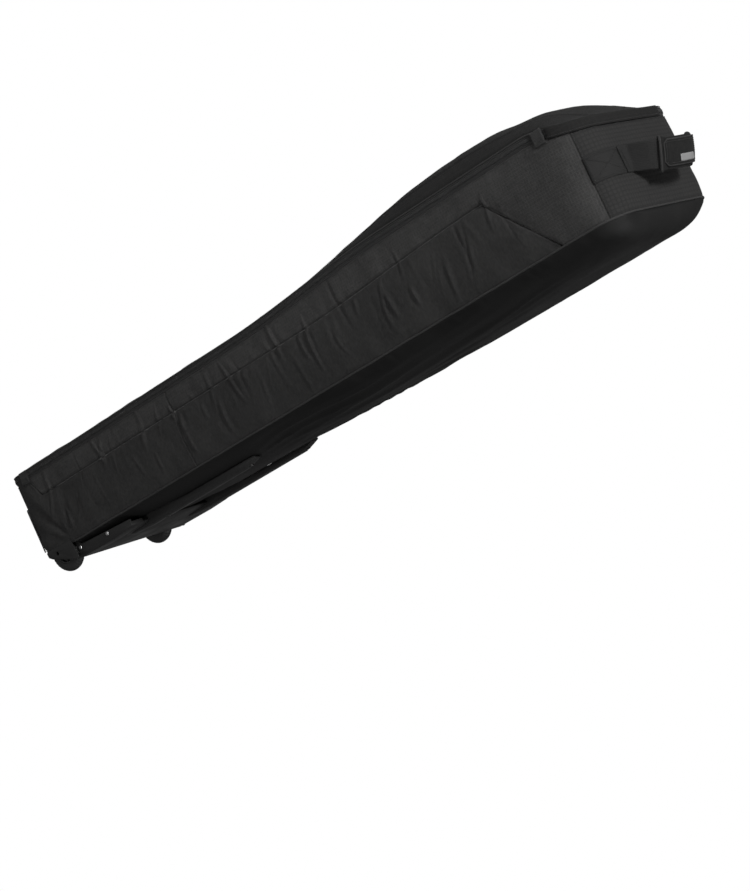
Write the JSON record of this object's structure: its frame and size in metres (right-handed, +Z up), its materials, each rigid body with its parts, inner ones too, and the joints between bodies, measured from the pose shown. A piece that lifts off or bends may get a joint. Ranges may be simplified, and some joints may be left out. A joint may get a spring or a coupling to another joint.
{
  "type": "snowboard bag",
  "caption": "Long padded wheeled snowboard bag with a zipped domed lid, a moulded wheel end, skid runners under the base and a padded webbing haul handle.",
  "frame": {"origin": "centre of the bag's box, on the floor it lies on", "axes": "+X along the bag from the wheel end to the haul handle, +Y away from the zipped side, +Z up with the lid on top"},
  "size_m": [1.7784, 0.3376, 0.3141],
  "materials": {
    "shell_fabric": "matt woven polyester",
    "base_fabric": "smooth coated",
    "lining": "matt",
    "webbing": "ribbed weave",
    "zip": "satin",
    "moulding": "fine grained",
    "board": "satin",
    "tyre": "satin urethane",
    "wheel_core": "satin",
    "steel": "bright zinc",
    "black_metal": "black satin",
    "patch": "satin, blank"
  },
  "bodies": {
    "bag": {"side_lower_panel_near": "shell_fabric", "side_lower_panel_far": "shell_fabric", "side_upper_panel_near": "shell_fabric", "side_upper_panel_far": "shell_fabric", "wheel_end_panel": "shell_fabric", "handle_end_panel": "shell_fabric", "base_panel": "base_fabric", "base_board": "board", "base_padding": "lining", "side_padding_near": "lining", "side_padding_far": "lining", "wheel_end_padding": "lining", "handle_end_padding": "lining", "bottom_piping": "webbing", "lid_hinge_tape": "webbing", "zip_tab_wheel_end": "webbing", "zip_tab_handle_end": "webbing", "handle_anchor_near": "webbing", "handle_anchor_far": "webbing", "zip_lower_half": "zip", "kick_plate": "moulding", "wheel_housing_near": "moulding", "wheel_housing_far": "moulding", "skid_runner_near": "moulding", "skid_runner_far": "moulding", "housing_rivet_front_near": "steel", "housing_rivet_front_far": "steel", "housing_rivet_rear_near": "steel", "housing_rivet_rear_far": "steel", "runner_screw_front_near": "steel", "runner_screw_front_far": "steel", "runner_screw_rear_near": "steel", "runner_screw_rear_far": "steel", "axle_bolt_near": "steel", "axle_bolt_far": "steel", "axle_nut_near": "steel", "axle_nut_far": "steel"},
    "lid": {"lid_panel": "shell_fabric", "lid_padding": "lining", "lid_welt": "webbing", "zip_upper_half": "zip", "zip_flap": "shell_fabric"},
    "haul_handle": {"handle_loop": "webbing", "grip_wrap": "shell_fabric"},
    "grip_flap": {"grip_flap": "shell_fabric", "grip_patch": "patch"},
    "wheel_near": {"wheel_tyre_near": "tyre", "wheel_core_near": "wheel_core", "wheel_bearing_outer_near": "steel", "wheel_bearing_inner_near": "steel"},
    "zip_slider_near": {"zip_slider_near": "black_metal"},
    "zip_pull_near": {"zip_pull_near": "webbing"},
    "wheel_far": {"wheel_tyre_far": "tyre", "wheel_core_far": "wheel_core", "wheel_bearing_outer_far": "steel", "wheel_bearing_inner_far": "steel"},
    "zip_slider_far": {"zip_slider_far": "black_metal"},
    "zip_pull_far": {"zip_pull_far": "webbing"}
  },
  "joints": [
    {"name": "lid_open", "type": "hinge", "parent": "bag", "child": "lid", "pos_m": [-0.13024, 0.164, 0.2449], "axis": [-0.9999, 0, -0.0137], "range_deg": [0, 180]},
    {"name": "wheel_spin_near", "type": "hinge", "parent": "bag", "child": "wheel_near", "pos_m": [-0.82224, -0.138, 0.045], "axis": [0, 1, 0], "continuous": true},
    {"name": "wheel_spin_far", "type": "hinge", "parent": "bag", "child": "wheel_far", "pos_m": [-0.82224, 0.138, 0.045], "axis": [0, 1, 0], "continuous": true},
    {"name": "zip_slide_near", "type": "slide", "parent": "bag", "child": "zip_slider_near", "axis": [0, -1, 0], "range_m": [0, 0.085]},
    {"name": "zip_slide_far", "type": "slide", "parent": "bag", "child": "zip_slider_far", "axis": [0, 1, 0], "range_m": [0, 0.085]},
    {"name": "zip_pull_turn_near", "type": "hinge", "parent": "zip_slider_near", "child": "zip_pull_near", "pos_m": [-0.88594, -0.008, 0.2264], "axis": [0, 0, -1], "range_deg": [0, 95]},
    {"name": "zip_pull_turn_far", "type": "hinge", "parent": "zip_slider_far", "child": "zip_pull_far", "pos_m": [-0.88594, 0.008, 0.2264], "axis": [0, 0, 1], "range_deg": [0, 95]},
    {"name": "haul_handle_swing", "type": "hinge", "parent": "bag", "child": "haul_handle", "pos_m": [0.81376, 0, 0.137], "axis": [0, 1, 0], "range_deg": [-84, 36]},
    {"name": "grip_flap_open", "type": "hinge", "parent": "haul_handle", "child": "grip_flap", "pos_m": [0.88687, 0, 0.13181], "axis": [0, -1, 0], "range_deg": [0, 120]}
  ]
}
